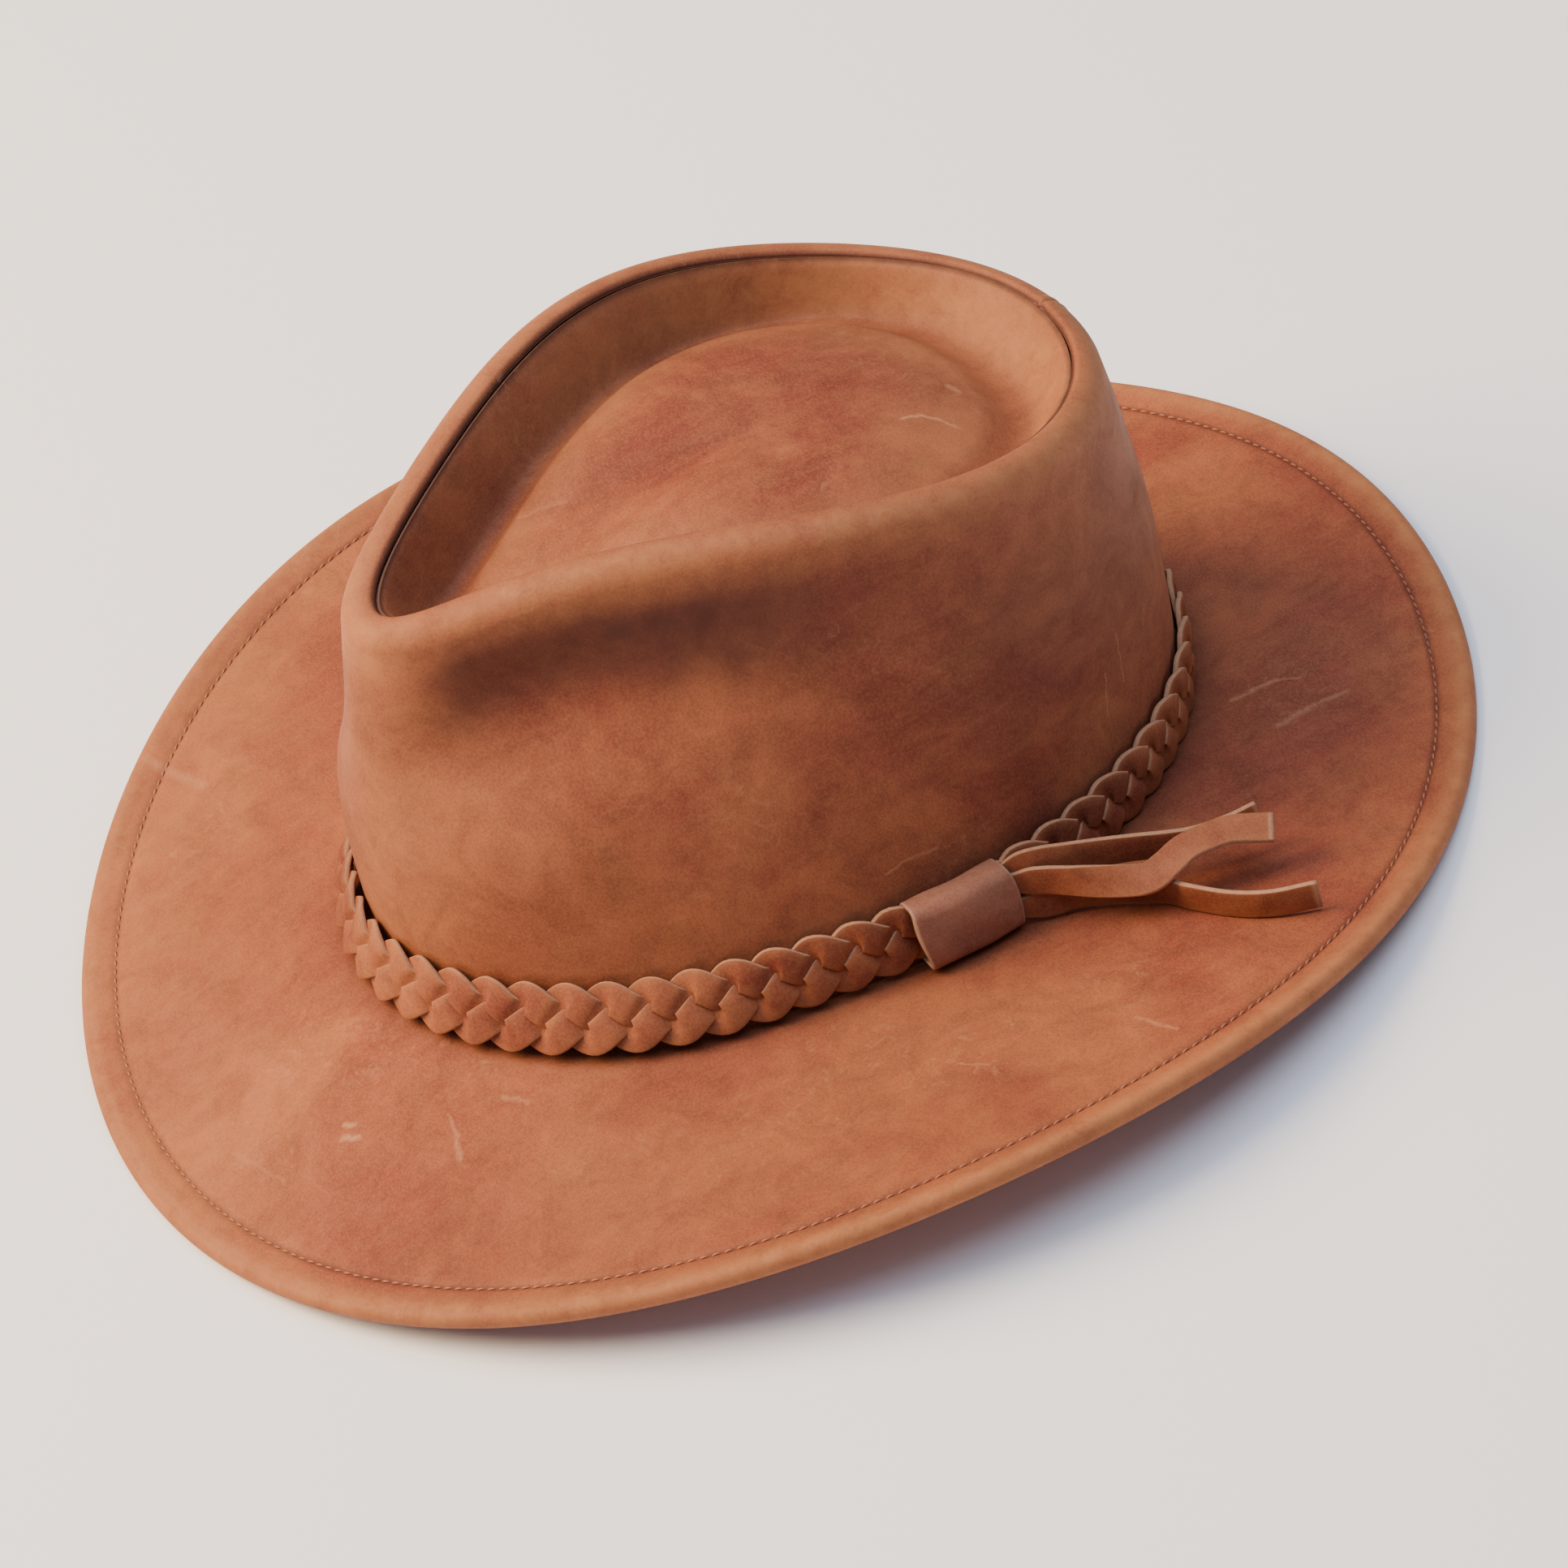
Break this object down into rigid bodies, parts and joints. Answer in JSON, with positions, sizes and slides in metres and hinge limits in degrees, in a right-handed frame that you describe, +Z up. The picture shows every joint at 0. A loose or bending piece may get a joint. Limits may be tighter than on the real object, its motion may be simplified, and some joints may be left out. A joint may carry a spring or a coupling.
{
  "type": "leather fedora hat",
  "caption": "Wide-brimmed leather hat with a pinched teardrop crown, rolled rim seams, a stitched beaded brim edge and a braided leather band with loose ends",
  "frame": {"origin": "under the middle of the brim, on the surface that the hat stands on", "axes": "+Z up, -Y the front of the hat, +X the wearer's left, where the keeper and the loose ends are"},
  "size_m": [0.332, 0.3526, 0.1305],
  "materials": {
    "crown_leather": "oiled pull-up leather, matte, rubbed paler on the rolled rim, brown in the hollows",
    "brim_leather": "oiled pull-up leather, matte, with pale scuffs and an ochre rubbed edge",
    "braid_leather": "matte leather lace with pale raw cut edges",
    "keeper_leather": "thin leather wrap, slightly glossier than the rest"
  },
  "bodies": {
    "root": {"crown_side": "crown_leather", "crown_top": "crown_leather", "brim": "brim_leather", "braid_strand_1": "braid_leather", "braid_strand_2": "braid_leather", "braid_strand_3": "braid_leather", "keeper": "keeper_leather"}
  },
  "joints": []
}
